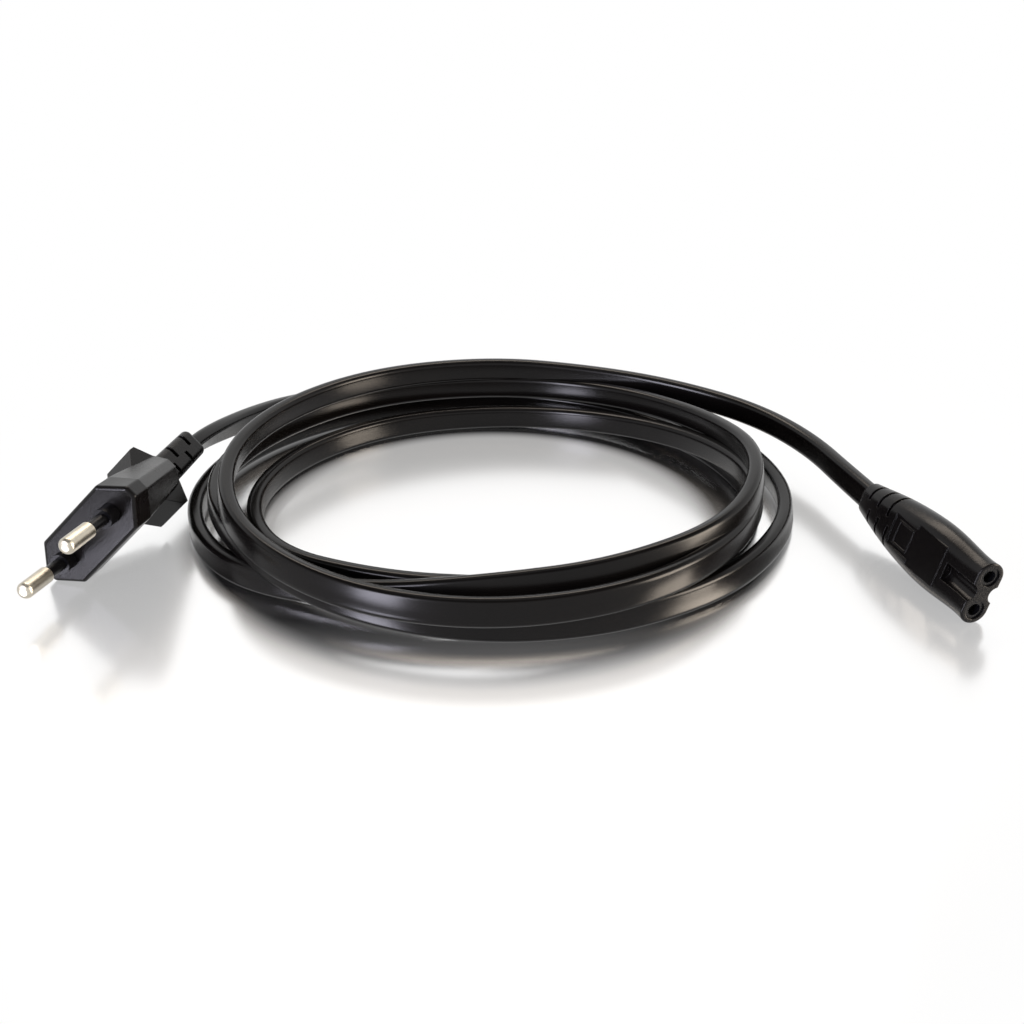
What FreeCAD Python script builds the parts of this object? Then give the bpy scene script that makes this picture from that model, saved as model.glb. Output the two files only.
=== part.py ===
import FreeCAD, Part
import math
import os
import Sketcher

# A mains lead: a moulded figure-eight connector at one end, a flat two-core cord in a loose
# coil, and a moulded flat two-pin plug at the other end. Millimetres, Z up, the floor at z = 0.
# The origin lies on the floor under the middle of the connector, whose mouth looks along -Y.

V = FreeCAD.Vector

VALUES = {
    # connector, measured back from its mouth
    "contact_pitch": 8.6,
    "contact_bore": 1.2,
    "contact_wall": 1.75,
    "contact_front": 3.0,
    "contact_back": 15.0,
    "contact_floor": 14.0,
    "crimp_back": 20.0,
    "crimp_radius": 1.0,
    "leadin_radius": 1.5,
    "carrier_tube": 2.35,
    "carrier_recess": 0.4,
    "carrier_shoulder": 14.0,
    "carrier_back": 19.0,
    "carrier_half_width": 6.7,
    "carrier_half_depth": 2.5,
    "waist_radius": 2.2,
    "waist_offset": 4.0,
    "waist_length": 10.0,
    "panel_front": 11.5,
    "panel_step": 22.5,
    "panel_back": 31.5,
    "panel_wide_half": 5.3,
    "panel_narrow_half": 4.0,
    "panel_level": 4.2,
    "panel_root": 3.0,
    "mark_front": 23.6,
    "mark_back": 29.8,
    "mark_half_width": 3.1,
    "mark_rim": 0.45,
    "mark_height": 0.25,
    "slot_width": 1.0,
    "slot_depth": 1.1,
    "high_slot_start": 1.4,
    "low_slot_start": 0.4,
    "slot_corner": 1.4,
    "connector_rim": 0.45,
    # conductors
    "core_radius": 1.2,
    "strand_radius": 0.55,
    "core_spread": 1.25,
    "connector_sheath_end": 33.0,
    "connector_first_corner": 58.0,
    "strand_grip": 4.0,
    # plug, measured along the pins from its face
    "pin_pitch": 18.6,
    "pin_length": 19.0,
    "pin_radius": 2.0,
    "pin_lean": 1.5,
    "pin_bare": 9.5,
    "pin_tip": 1.3,
    "shank_radius": 1.1,
    "shank_back": 14.0,
    "pin_sleeve_radius": 1.55,
    "pin_sleeve_depth": 1.0,
    "collar_radius": 2.45,
    "collar_height": 3.7,
    "bridge_front": 3.0,
    "bridge_back": 12.0,
    "bridge_half_width": 11.6,
    "bridge_half_depth": 3.6,
    "plug_core_front": 15.0,
    "plug_core_place": 9.65,
    "plug_sheath_end": 38.0,
    "plug_first_corner": 46.0,
    "plug_second_corner": 60.0,
    "plug_second_rise": 3.2,
    "tail_bend": 2.1,
    "bend_reach": 46.0,
    "plug_edge": 1.0,
    "wing_half_width": 5.3,
    "wing_root": 4.0,
    "wing_tip": 9.6,
    "wing_front": 21.5,
    "wing_tip_front": 28.4,
    "wing_tip_back": 30.2,
    "wing_back": 34.0,
    "tail_front": 33.0,
    "tail_back": 55.4,
    "tail_half_width": 4.6,
    "tail_half_depth": 4.3,
    "tail_end_half_width": 4.4,
    "tail_end_half_depth": 4.0,
    "tail_corner": 1.8,
    "notch_width": 1.5,
    "notch_depth": 1.0,
    "notch_inner": 0.2,
    "notch_outer": 5.4,
    # cord
    "cord_width": 6.8,
    "cord_thickness": 4.0,
    "coil_height": 20.4,
    "coil_top_round": 5.0,
    "coil_bottom_round": 1.2,
}

# name, distance behind the mouth, half width along the pair of contacts, half depth
CONNECTOR_SECTIONS = (
    ("mouth", 0.0, 7.85, 3.55),
    ("nose", 9.0, 7.95, 3.75),
    ("shoulder", 18.0, 8.45, 4.45),
    ("grip", 25.0, 8.1, 4.65),
    ("waist", 33.0, 7.2, 4.6),
    ("relief", 41.5, 5.7, 4.1),
    ("exit", 48.2, 4.4, 3.0),
)

# name, distance behind the face, half width at the apex, half depth, half length of the
# long side, half width of the flat that blunts the apex
PLUG_SECTIONS = (
    ("face", 0.0, 17.65, 6.85, 11.5, 1.5),
    ("crease", 7.2, 16.4, 6.8, 10.9, 1.5),
    ("neck", 34.0, 7.5, 4.9, 4.8, 1.3),
)

CONNECTOR_SLOTS = (34.1, 38.9, 43.7)
CONNECTOR_LOW_SLOTS = (32.3, 37.0, 41.6)
PLUG_NOTCHES = ((37.6, -1), (41.4, 1), (45.5, -1), (49.4, 1))

# where each moulding lies: a point, heading of its front, dip of its nose, lean of its pair line
CONNECTOR_PLACE = (V(0.0, -24.02, 7.63), -90.0, 2.4, 75.5)
PLUG_PLACE = (V(-193.9, 48.35, 13.59), -118.7, -2.2, 45.3)

# corners of the two routes, chosen by hand from the photograph, after the points that lie on
# each moulding's own axis, from the sheath's end inside it to the first corners outside it
CONNECTOR_ROUTE = (
    V(1.6, 60.75, 10.6),
    V(-5.0, 84.25, 11.8),
    V(-22.5, 103.25, 14.0),
    V(-43.0, 118.45, 15.3),
)
PLUG_ROUTE = (
    V(-151.0, 129.75, 8.2),
    V(-135.0, 147.25, 4.8),
    V(-113.0, 153.75, 3.5),
    V(-90.9, 148.75, 3.5),
    V(-68.2, 141.65, 3.5),
)
ARC_SHARE = 0.45

# the coil's own axes are turned from the part's, and its radii are given all round, from its
# own X towards its own Y, at equal angles
COIL_CENTRE = V(-92.8, 60.75, 0.0)
COIL_TURN = -15.66
COIL_OUTER = (82.0, 86.0, 87.0, 76.5, 76.0, 71.0, 70.0, 72.0)
COIL_INNER = (68.5, 64.0, 62.0, 61.5, 60.5, 53.0, 44.0, 54.5)


class Size:
    """A number together with the sheet expression that it comes from."""

    def __init__(self, number, text):
        self.number = number
        self.text = text

    def __add__(self, other):
        return Size(self.number + other.number, "(%s + %s)" % (self.text, other.text))

    def __sub__(self, other):
        return Size(self.number - other.number, "(%s - %s)" % (self.text, other.text))

    def __mul__(self, factor):
        return Size(self.number * factor, "%s * %s" % (self.text, factor))

    def __neg__(self):
        return self * -1


def cell(alias):
    return Size(VALUES[alias], "sizes." + alias)


NOTHING = Size(0.0, "0")
FAR = Size(14.0, "14")


def write_sheet(doc):
    """Put every driving size into a spreadsheet, each under an alias."""
    for name, reach, width, depth in CONNECTOR_SECTIONS:
        VALUES[name + "_reach"] = reach
        VALUES[name + "_half_width"] = width
        VALUES[name + "_half_depth"] = depth
    for name, reach, apex, depth, side, blunt in PLUG_SECTIONS:
        VALUES[name + "_reach"] = reach
        VALUES[name + "_apex"] = apex
        VALUES[name + "_half_depth"] = depth
        VALUES[name + "_side"] = side
        VALUES[name + "_blunt"] = blunt
    sheet = doc.addObject("Spreadsheet::Sheet", "sizes")
    for row, (alias, number) in enumerate(VALUES.items(), start=1):
        sheet.set("A%d" % row, alias)
        sheet.set("B%d" % row, str(number))
        sheet.setAlias("B%d" % row, alias)
    doc.recompute()


def lie(place):
    """The placement of a moulding from its point, heading, dip and lean."""
    point, heading, dip, lean = place
    heading, dip, lean = (math.radians(angle) for angle in (heading, dip, lean))
    front = V(math.cos(heading) * math.cos(dip), math.sin(heading) * math.cos(dip), -math.sin(dip))
    side = V(0, 0, 1).cross(front).normalize()
    upright = front.cross(side)
    pair = side * math.cos(lean) + upright * math.sin(lean)
    return FreeCAD.Placement(point, FreeCAD.Rotation(pair, front.cross(pair), front, "ZXY"))


def beside(place, offset, lean=0.0):
    """A placement moved along the pair line and leant about the moulding's own Y."""
    return place.multiply(FreeCAD.Placement(V(offset, 0, 0), FreeCAD.Rotation(V(0, 1, 0), lean)))


def new_body(doc, label, place):
    body = doc.addObject("PartDesign::Body", label)
    body.Label = label
    body.Placement = place
    return body


def new_sketch(body, name, role="XY_Plane", level=NOTHING):
    """A sketch on one of the body's own planes, raised from it by a size."""
    sketch = body.newObject("Sketcher::SketchObject", name)
    plane = [item for item in body.Origin.OriginFeatures if item.Role == role][0]
    sketch.AttachmentSupport = [(plane, "")]
    sketch.MapMode = "FlatFace"
    sketch.AttachmentOffset = FreeCAD.Placement(V(0, 0, level.number), FreeCAD.Rotation())
    if level.text != "0":
        sketch.setExpression("AttachmentOffset.Base.z", level.text)
    return sketch


def bind(sketch, index, size):
    sketch.setExpression("Constraints[%d]" % index, size.text)


def pin_point(sketch, line, end, kind, size):
    """Fix one coordinate of a point to a size."""
    if abs(size.number) < 1e-9:
        axis = -2 if kind == "DistanceX" else -1
        sketch.addConstraint(Sketcher.Constraint("PointOnObject", line, end, axis))
        return
    index = sketch.addConstraint(Sketcher.Constraint(kind, -1, 1, line, end, size.number))
    bind(sketch, index, size)


def add_outline(sketch, corners):
    """A closed outline of straight lines, every corner bound to sizes."""
    first = sketch.GeometryCount
    count = len(corners)
    points = [V(x.number, y.number, 0) for x, y in corners]
    for index in range(count):
        sketch.addGeometry(Part.LineSegment(points[index], points[(index + 1) % count]), False)
    for index in range(count):
        following = first + (index + 1) % count
        sketch.addConstraint(Sketcher.Constraint("Coincident", first + index, 2, following, 1))
    for index, (x, y) in enumerate(corners):
        pin_point(sketch, first + index, 1, "DistanceX", x)
        pin_point(sketch, first + index, 1, "DistanceY", y)


def add_circle(sketch, x, radius, y=NOTHING):
    """A circle with its middle and radius bound to sizes."""
    middle = V(x.number, y.number, 0)
    circle = sketch.addGeometry(Part.Circle(middle, V(0, 0, 1), radius.number), False)
    pin_point(sketch, circle, 3, "DistanceX", x)
    pin_point(sketch, circle, 3, "DistanceY", y)
    bind(sketch, sketch.addConstraint(Sketcher.Constraint("Radius", circle, radius.number)), radius)


def add_stadium(sketch, half_width, half_depth):
    """A slot-shaped outline across the sketch's origin."""
    reach = half_width.number - half_depth.number
    radius = half_depth.number
    up = V(0, 0, 1)
    left = Part.ArcOfCircle(Part.Circle(V(-reach, 0, 0), up, radius), math.pi / 2, 3 * math.pi / 2)
    right = Part.ArcOfCircle(Part.Circle(V(reach, 0, 0), up, radius), -math.pi / 2, math.pi / 2)
    top = Part.LineSegment(V(-reach, radius, 0), V(reach, radius, 0))
    bottom = Part.LineSegment(V(-reach, -radius, 0), V(reach, -radius, 0))
    sketch.addGeometry([left, right, top, bottom], False)
    for arc, end, line, other in ((0, 1, 2, 1), (0, 2, 3, 1), (1, 1, 3, 2), (1, 2, 2, 2)):
        sketch.addConstraint(Sketcher.Constraint("Tangent", arc, end, line, other))
    sketch.addConstraint(Sketcher.Constraint("Symmetric", 0, 3, 1, 3, -1, 1))
    sketch.addConstraint(Sketcher.Constraint("Equal", 0, 1))
    sketch.addConstraint(Sketcher.Constraint("Horizontal", 2))
    bind(sketch, sketch.addConstraint(Sketcher.Constraint("Radius", 0, radius)), half_depth)
    apart = (half_width - half_depth) * 2
    constraint = Sketcher.Constraint("DistanceX", 0, 3, 1, 3, apart.number)
    bind(sketch, sketch.addConstraint(constraint), apart)


def pad(body, sketch, length, reverse=False, midplane=False):
    feature = body.newObject("PartDesign::Pad", sketch.Name + "_pad")
    feature.Profile = sketch
    feature.Length = length.number
    feature.setExpression("Length", length.text)
    feature.Reversed = reverse
    feature.Midplane = midplane
    return feature


def pocket(body, sketch, length, reverse=False):
    feature = body.newObject("PartDesign::Pocket", sketch.Name + "_pocket")
    feature.Profile = sketch
    feature.Length = length.number
    feature.setExpression("Length", length.text)
    feature.Reversed = reverse
    return feature


def loft(body, sketches, ruled=False, kind="AdditiveLoft"):
    feature = body.newObject("PartDesign::" + kind, sketches[0].Name + "_loft")
    feature.Profile = sketches[0]
    feature.Sections = sketches[1:]
    feature.Ruled = ruled
    return feature


def revolve(body, name, corners):
    """A solid of revolution about the body's Z, from corners of radius and height."""
    sketch = new_sketch(body, name, "XZ_Plane")
    add_outline(sketch, corners)
    feature = body.newObject("PartDesign::Revolution", name + "_turn")
    feature.Profile = sketch
    feature.ReferenceAxis = (sketch, ["V_Axis"])
    feature.Angle = 360.0
    return feature


def fillet(doc, body, size, wanted):
    """Round the edges of the body's last feature that a test picks out."""
    doc.recompute()
    base = body.Tip
    names = ["Edge%d" % (index + 1) for index, edge in enumerate(base.Shape.Edges) if wanted(edge)]
    feature = body.newObject("PartDesign::Fillet", base.Name + "_round")
    feature.Base = (base, names)
    feature.Radius = size.number
    feature.setExpression("Radius", size.text)
    return feature


def at_level(level):
    """A test for edges that lie flat at one height of their body."""
    def test(edge):
        box = edge.BoundBox
        return abs(box.ZMin - level) < 0.01 and abs(box.ZMax - level) < 0.01
    return test


def fuse(doc, name, pieces):
    together = doc.addObject("Part::MultiFuse", name)
    together.Shapes = pieces
    return together


def cut(doc, label, base, pieces):
    """A piece with the room that others take in it."""
    result = doc.addObject("Part::Cut", label)
    result.Label = label
    result.Base = base
    result.Tool = fuse(doc, label + "_room", pieces) if len(pieces) > 1 else pieces[0]
    return result


def slot_outline(side, start, half_width, half_depth):
    """The part of a relief's skin that one slot takes away, on one side of its pair line."""
    start = start * side
    floor = (half_width - cell("slot_depth")) * side
    bend = (half_width - cell("slot_depth") - cell("slot_corner")) * side
    depth = half_depth - cell("slot_depth")
    flank = depth - cell("slot_corner")
    return (
        (start, depth), (bend, depth), (floor, flank), (floor, -flank), (bend, -depth), (start, -depth),
        (start, -FAR), (FAR * side, -FAR), (FAR * side, FAR), (start, FAR),
    )


def taper_at(reach):
    """Half width and half depth of the connector at a distance behind its mouth."""
    for before, after in zip(CONNECTOR_SECTIONS, CONNECTOR_SECTIONS[1:]):
        if reach <= after[1]:
            share = (reach - before[1]) / (after[1] - before[1])
            width = before[2] + share * (after[2] - before[2])
            depth = before[3] + share * (after[3] - before[3])
            return width, depth
    return CONNECTOR_SECTIONS[-1][2:]


def connector_form(doc, place):
    """The connector's overmould: figure-eight nose, grip with its panel, slotted relief."""
    body = new_body(doc, "connector_form", place)
    sketches = []
    for name, _, _, _ in CONNECTOR_SECTIONS:
        sketch = new_sketch(body, "section_" + name, "XY_Plane", -cell(name + "_reach"))
        add_stadium(sketch, cell(name + "_half_width"), cell(name + "_half_depth"))
        sketches.append(sketch)
    loft(body, sketches)
    fillet(doc, body, cell("connector_rim"), at_level(0.0))
    for side, name in ((1, "upper_waist"), (-1, "lower_waist")):
        sketch = new_sketch(body, name)
        add_circle(sketch, NOTHING, cell("waist_radius"), cell("waist_offset") * side)
        pocket(body, sketch, cell("waist_length"))
    add_panel(body)
    for name, side, slots in (("high_slot", 1, CONNECTOR_SLOTS), ("low_slot", -1, CONNECTOR_LOW_SLOTS)):
        for index, reach in enumerate(slots):
            width, depth = taper_at(reach)
            sketch = new_sketch(body, "%s_%d" % (name, index + 1), "XY_Plane", Size(-reach, str(-reach)))
            sizes = (Size(width, "%.3f" % width), Size(depth, "%.3f" % depth))
            add_outline(sketch, slot_outline(side, cell(name + "_start"), *sizes))
            pocket(body, sketch, cell("slot_width"))
    return body


def rectangle(half_width, front, back):
    return ((-half_width, -back), (half_width, -back), (half_width, -front), (-half_width, -front))


def add_panel(body):
    """The flat panel on the broad face, which stands proud of the nose and is sunk in the grip,
    and the low square frame on it."""
    level, root = cell("panel_level"), cell("panel_root")
    wide = rectangle(cell("panel_wide_half"), cell("panel_front"), cell("panel_step"))
    narrow = rectangle(cell("panel_narrow_half"), cell("panel_step"), cell("panel_back"))
    sketch = new_sketch(body, "panel_nose", "XZ_Plane", -root)
    add_outline(sketch, wide)
    pad(body, sketch, level - root, reverse=True)
    for name, corners in (("panel_wide", wide), ("panel_narrow", narrow)):
        sketch = new_sketch(body, name, "XZ_Plane", -level)
        add_outline(sketch, corners)
        pocket(body, sketch, FAR)
    sketch = new_sketch(body, "mark_frame", "XZ_Plane", -level)
    rim = cell("mark_rim")
    outer = rectangle(cell("mark_half_width"), cell("mark_front"), cell("mark_back"))
    inner = rectangle(cell("mark_half_width") - rim, cell("mark_front") + rim, cell("mark_back") - rim)
    add_outline(sketch, outer)
    add_outline(sketch, inner)
    pad(body, sketch, cell("mark_height"), reverse=True)


def contact_carrier(doc, place):
    """The hard insert: two tubes seen in the mouth, joined by a bar behind them."""
    body = new_body(doc, "contact_carrier", place)
    half = cell("contact_pitch") * 0.5
    bar = new_sketch(body, "carrier_bar", "XY_Plane", -cell("carrier_back"))
    add_stadium(bar, cell("carrier_half_width"), cell("carrier_half_depth"))
    pad(body, bar, cell("carrier_back") - cell("carrier_shoulder"))
    tubes = new_sketch(body, "carrier_tubes", "XY_Plane", -cell("carrier_shoulder"))
    chambers = new_sketch(body, "carrier_chambers", "XY_Plane", -cell("contact_back"))
    leadins = new_sketch(body, "carrier_leadins", "XY_Plane", -cell("carrier_recess"))
    crimps = new_sketch(body, "carrier_crimps", "XY_Plane", -cell("contact_back"))
    for side in (half, -half):
        add_circle(tubes, side, cell("carrier_tube"))
        add_circle(chambers, side, cell("contact_wall"))
        add_circle(leadins, side, cell("leadin_radius"))
        add_circle(crimps, side, cell("crimp_radius"))
    pad(body, tubes, cell("carrier_shoulder") - cell("carrier_recess"))
    pocket(body, leadins, cell("contact_front") - cell("carrier_recess"))
    pocket(body, chambers, cell("contact_back") - cell("contact_front"), reverse=True)
    pocket(body, crimps, cell("carrier_back") - cell("contact_back"))
    return body


def contact_sleeve(doc, label, place):
    """One turned contact: a socket for the mating pin and a crimp barrel behind it."""
    body = new_body(doc, label, place)
    bore, wall = cell("contact_bore"), cell("contact_wall")
    front, back, crimp_back = -cell("contact_front"), -cell("contact_back"), -cell("crimp_back")
    crimp, hole = cell("crimp_radius"), cell("strand_radius")
    floor = -(cell("crimp_back") - cell("strand_grip"))
    revolve(body, label + "_half", (
        (bore, front), (wall, front), (wall, back), (crimp, back),
        (crimp, crimp_back), (hole, crimp_back), (hole, floor), (bore, -cell("contact_floor")),
    ))
    return body


def mating_passage(doc, label, place):
    """The open way from the mouth to the end of one contact's bore."""
    body = new_body(doc, label, place)
    rim, recess = cell("carrier_tube"), -cell("carrier_recess")
    lead, front = cell("leadin_radius"), -cell("contact_front")
    bore, back = cell("contact_bore"), -cell("contact_floor")
    hole, floor = cell("strand_radius"), -(cell("crimp_back") - cell("strand_grip"))
    outside = Size(2.0, "2")
    revolve(body, label + "_half", (
        (NOTHING, outside), (rim, outside), (rim, recess), (lead, recess),
        (lead, front), (bore, front), (bore, back), (hole, floor), (NOTHING, floor),
    ))
    return body


def wire_sketches(body, tag, radius, side, run):
    """Two circles that a conductor runs between, spread at one end and close at the other."""
    near, start, end, rise = run
    first = new_sketch(body, tag + "_near", "XY_Plane", -start)
    second = new_sketch(body, tag + "_far", "XY_Plane", -end)
    add_circle(first, near * side, radius)
    add_circle(second, cell("core_spread") * side, radius, rise)
    return [first, second]


def core(doc, label, place, side, run):
    """The insulation of one conductor, with the room for its strands."""
    body = new_body(doc, label, place)
    loft(body, wire_sketches(body, label, cell("core_radius"), side, run))
    hole = wire_sketches(body, label + "_bore", cell("strand_radius"), side, run)
    loft(body, hole, kind="SubtractiveLoft")
    return body


def strands(doc, label, place, side, run):
    """The bundle of copper strands of one conductor, bare where it is gripped."""
    body = new_body(doc, label, place)
    loft(body, wire_sketches(body, label, cell("strand_radius"), side, run))
    near, start = run[:2]
    tip = new_sketch(body, label + "_tip", "XY_Plane", -start)
    add_circle(tip, near * side, cell("strand_radius"))
    pad(body, tip, cell("strand_grip"))
    return body


def bend_at(reach):
    """How far the soft tail is bent towards the plug's own Y at a distance behind the face."""
    return cell("tail_bend") * round((reach / VALUES["bend_reach"]) ** 2, 3)


def plug_form(doc, place):
    """The plug's overmould: tapering six-sided body, grip wings and slotted relief."""
    body = new_body(doc, "plug_form", place)
    sketches = []
    for name, _, _, _, _, _ in PLUG_SECTIONS:
        sketch = new_sketch(body, "plug_" + name, "XY_Plane", -cell(name + "_reach"))
        apex, depth = cell(name + "_apex"), cell(name + "_half_depth")
        side, blunt = cell(name + "_side"), cell(name + "_blunt")
        bend = bend_at(VALUES[name + "_reach"])
        right = ((side, bend + depth), (apex, bend + blunt), (apex, bend - blunt), (side, bend - depth))
        left = [(-x, y) for x, y in reversed(right)]
        add_outline(sketch, (*right, *left))
        sketches.append(sketch)
    loft(body, sketches, ruled=True)
    neck = VALUES["neck_reach"]
    fillet(doc, body, cell("plug_edge"), lambda edge: not at_level(-neck)(edge))
    tail = []
    for name, reach in (("tail", "tail_front"), ("tail_end", "tail_back")):
        sketch = new_sketch(body, "plug_" + name, "XY_Plane", -cell(reach))
        width, depth = cell(name + "_half_width"), cell(name + "_half_depth")
        top, bottom = bend_at(VALUES[reach]) + depth, bend_at(VALUES[reach]) - depth
        add_outline(sketch, ((width, top), (-width, top), (-width, bottom), (width, bottom)))
        tail.append(sketch)
    loft(body, tail, ruled=True)
    tail_front, tail_back = VALUES["tail_front"], VALUES["tail_back"]

    def round_the_tail(edge):
        box = edge.BoundBox
        return box.ZMin < -tail_back + 0.01 and (box.ZMax > -tail_front - 2.0 or box.ZLength < 0.01)

    fillet(doc, body, cell("tail_corner"), round_the_tail)
    wing_bend = bend_at(VALUES["wing_tip_back"])
    for side, name in ((1, "upper_wing"), (-1, "lower_wing")):
        sketch = new_sketch(body, name, "YZ_Plane")
        root, tip = wing_bend + cell("wing_root") * side, wing_bend + cell("wing_tip") * side
        add_outline(sketch, (
            (root, -cell("wing_front")), (tip, -cell("wing_tip_front")),
            (tip, -cell("wing_tip_back")), (root, -cell("wing_back")),
        ))
        pad(body, sketch, cell("wing_half_width") * 2, midplane=True)
    for index, (reach, side) in enumerate(PLUG_NOTCHES):
        for face in (1, -1):
            name = "notch_%d_%s" % (index + 1, "top" if face > 0 else "back")
            sketch = new_sketch(body, name, "XY_Plane", Size(-reach, str(-reach)))
            inner = bend_at(reach) + cell("notch_inner") * side * face
            outer = bend_at(reach) + cell("notch_outer") * side * face
            floor = (cell("tail_half_width") - cell("notch_depth")) * face
            add_outline(sketch, (
                (floor, inner), (FAR * face, inner), (FAR * face, outer), (floor, outer),
            ))
            pocket(body, sketch, cell("notch_width"))
    return body


def pin_form(doc, label, place):
    """One plug pin: bare rounded end and a thinner shank that its sleeve covers."""
    body = new_body(doc, label, place)
    end, bare, radius = cell("pin_length"), cell("pin_length") - cell("pin_bare"), cell("pin_radius")
    shank, back = cell("shank_radius"), -cell("shank_back")
    revolve(body, label + "_half", (
        (NOTHING, back), (shank, back), (shank, bare), (radius, bare), (radius, end), (NOTHING, end),
    ))
    fillet(doc, body, cell("pin_tip"), at_level(VALUES["pin_length"]))
    return body


def pin_sleeve(doc, label, place):
    """The insulating sleeve between a pin's bare end and the plug's face."""
    body = new_body(doc, label, place)
    inner, outer = cell("shank_radius"), cell("pin_sleeve_radius")
    low, high = -cell("pin_sleeve_depth"), cell("pin_length") - cell("pin_bare")
    revolve(body, label + "_half", ((inner, low), (outer, low), (outer, high), (inner, high)))
    return body


def collar(doc, label, place):
    """The raised collar round the foot of one pin."""
    body = new_body(doc, label, place)
    low, high, radius = -cell("bridge_front"), cell("collar_height"), cell("collar_radius")
    deep = low - Size(1.0, "1")
    revolve(body, label + "_half", ((NOTHING, deep), (radius, deep), (radius, high), (NOTHING, high)))
    return body


def pin_bridge(doc, place):
    """The block inside the plug that holds both pins."""
    body = new_body(doc, "pin_bridge", place)
    sketch = new_sketch(body, "bridge", "XY_Plane", -cell("bridge_back"))
    width, depth = cell("bridge_half_width"), cell("bridge_half_depth")
    add_outline(sketch, ((width, depth), (-width, depth), (-width, -depth), (width, -depth)))
    pad(body, sketch, cell("bridge_back") - cell("bridge_front"))
    return body


def rounded_path(points):
    """Straight runs joined by tangent arcs as large as the runs allow, with the arcs' radii."""
    edges = []
    radii = []
    last = points[0]
    for before, corner, after in zip(points, points[1:], points[2:]):
        arriving = (corner - before).normalize()
        leaving = (after - corner).normalize()
        half_turn = arriving.getAngle(leaving) / 2
        run = min((corner - before).Length, (after - corner).Length)
        setback = ARC_SHARE * run
        radius = setback / math.tan(half_turn)
        start = corner - arriving * setback
        end = corner + leaving * setback
        centre = corner + (leaving - arriving).normalize() * (radius / math.cos(half_turn))
        middle = centre + (corner - centre).normalize() * radius
        if (start - last).Length > 1e-6:
            edges.append(Part.LineSegment(last, start).toShape())
        edges.append(Part.Arc(start, middle, end).toShape())
        radii.append(radius)
        last = end
    edges.append(Part.LineSegment(last, points[-1]).toShape())
    return Part.Wire(edges), radii


def cord_tube(doc, label, points, upright):
    """A flat tube along a route, its broad side turned at the start towards one direction."""
    width, thickness = VALUES["cord_width"], VALUES["cord_thickness"]
    path, radii = rounded_path(points)
    along = (points[1] - points[0]).normalize()
    broad = (upright - along * upright.dot(along)).normalize()
    thin = along.cross(broad)
    radius = thickness / 2
    reach = broad * (width / 2 - radius)
    corners = [points[0] + reach + thin * radius, points[0] + reach - thin * radius,
               points[0] - reach - thin * radius, points[0] - reach + thin * radius]
    tips = [points[0] + broad * (width / 2), points[0] - broad * (width / 2)]
    section = Part.Wire([
        Part.Arc(corners[0], tips[0], corners[1]).toShape(),
        Part.LineSegment(corners[1], corners[2]).toShape(),
        Part.Arc(corners[2], tips[1], corners[3]).toShape(),
        Part.LineSegment(corners[3], corners[0]).toShape(),
    ])
    sweep = Part.BRepOffsetAPI.MakePipeShell(path)
    sweep.setFrenetMode(False)
    sweep.add(section)
    sweep.build()
    sweep.makeSolid()
    area = math.pi * radius ** 2 + (width - thickness) * thickness
    solid = sweep.shape()
    if solid.Volume < 0:
        solid.reverse()
    print("%s: length %.1f, smallest radius %.1f, volume %.1f against %.1f" % (
        label, path.Length, min(radii), solid.Volume, area * path.Length))
    tube = doc.addObject("Part::Feature", label)
    tube.Label = label
    tube.Shape = solid
    tube.Placement = FreeCAD.Placement()
    return tube


def coil_form(doc, place):
    """The ring that all turns of the coil fill together."""
    body = new_body(doc, "coil_form", place)
    sketch = new_sketch(body, "coil_plan")
    for radii in (COIL_OUTER, COIL_INNER):
        points = []
        for index, radius in enumerate(radii):
            angle = 2 * math.pi * index / len(radii)
            points.append(V(radius * math.cos(angle), radius * math.sin(angle), 0))
        curve = Part.BSplineCurve()
        curve.interpolate(Points=points, PeriodicFlag=True)
        sketch.addGeometry(curve, False)
    pad(body, sketch, cell("coil_height"))
    fillet(doc, body, cell("coil_top_round"), at_level(VALUES["coil_height"]))
    fillet(doc, body, cell("coil_bottom_round"), at_level(0.0))
    return body


def build_connector(doc, place, lead):
    half = cell("contact_pitch") * 0.5
    run = (half, cell("crimp_back"), cell("connector_sheath_end"), NOTHING)
    inner = [contact_carrier(doc, place)]
    passages = []
    for number, side in ((1, 1), (2, -1)):
        spot = beside(place, half.number * side)
        inner.append(contact_sleeve(doc, "contact_sleeve_%d" % number, spot))
        inner.append(core(doc, "connector_core_%d" % number, place, side, run))
        inner.append(strands(doc, "connector_strands_%d" % number, place, side, run))
        passages.append(mating_passage(doc, "mating_passage_%d" % number, spot))
    shell = cut(doc, "connector_body", connector_form(doc, place), inner + passages + [lead])
    return [shell] + inner


def build_plug(doc, place, lead):
    half = VALUES["pin_pitch"] / 2
    end = cell("plug_sheath_end")
    run = (cell("plug_core_place"), cell("plug_core_front"), end, bend_at(end.number))
    blanks = []
    sleeves = []
    collars = [pin_bridge(doc, place)]
    inner = []
    for number, side in ((1, 1), (2, -1)):
        spot = beside(place, half * side, -VALUES["pin_lean"] * side)
        inner.append(core(doc, "plug_core_%d" % number, place, side, run))
        inner.append(strands(doc, "plug_strands_%d" % number, place, side, run))
        blank = pin_form(doc, "pin_form_%d" % number, spot)
        blanks.append(cut(doc, "pin_%d" % number, blank, [inner[-1]]))
        sleeves.append(pin_sleeve(doc, "pin_sleeve_%d" % number, spot))
        collars.append(collar(doc, "collar_%d" % number, spot))
    carrier_blank = fuse(doc, "carrier_blank", collars)
    carrier = cut(doc, "pin_carrier", carrier_blank, blanks + sleeves + inner)
    pieces = [carrier] + blanks + sleeves + inner
    shell = cut(doc, "plug_body", plug_form(doc, place), pieces + [lead])
    return [shell] + pieces


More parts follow.
